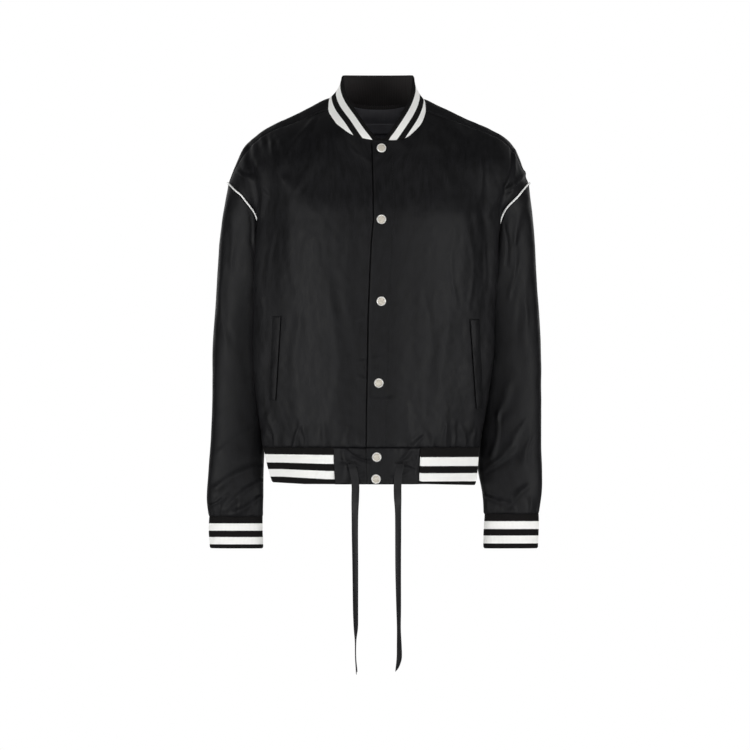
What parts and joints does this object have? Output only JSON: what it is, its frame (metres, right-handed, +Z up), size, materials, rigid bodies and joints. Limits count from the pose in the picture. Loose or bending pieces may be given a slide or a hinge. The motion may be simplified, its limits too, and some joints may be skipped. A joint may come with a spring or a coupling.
{
  "type": "varsity jacket",
  "caption": "Varsity jacket of dark satin with striped knitted rib collar, cuffs and hem, snap front, piped armholes and two hanging drawstring tapes, in its worn form.",
  "frame": {"origin": "between the shoulders at the base of the neck, where the wearer's shoulders hold the jacket", "axes": "+X towards the wearer's left, -Y towards the front, +Z up"},
  "size_m": [0.6015, 0.2595, 1.0757],
  "materials": {
    "satin": "dark satin weave with a soft sheen",
    "rib": "matt knitted rib, dark with white stripes",
    "piping": "white satin-covered cord",
    "label": "woven tape, bare",
    "snap": "pearl cap in a polished rim",
    "tape": "flat satin tape"
  },
  "bodies": {
    "root": {"front_left": "satin", "front_right": "satin", "back": "satin", "sleeve_left": "satin", "sleeve_right": "satin", "collar": "rib", "cuff_left": "rib", "cuff_right": "rib", "hem_rib": "rib", "hem_tab_left": "satin", "hem_tab_right": "satin", "pocket_welt_left": "satin", "pocket_welt_right": "satin", "piping_left": "piping", "piping_right": "piping", "back_neck_facing": "satin", "neck_label": "label", "drawstring_left": "tape", "drawstring_right": "tape", "snap_cap_1": "snap", "snap_cap_2": "snap", "snap_cap_3": "snap", "snap_cap_4": "snap", "snap_cap_5": "snap", "snap_cap_6": "snap"}
  },
  "joints": []
}
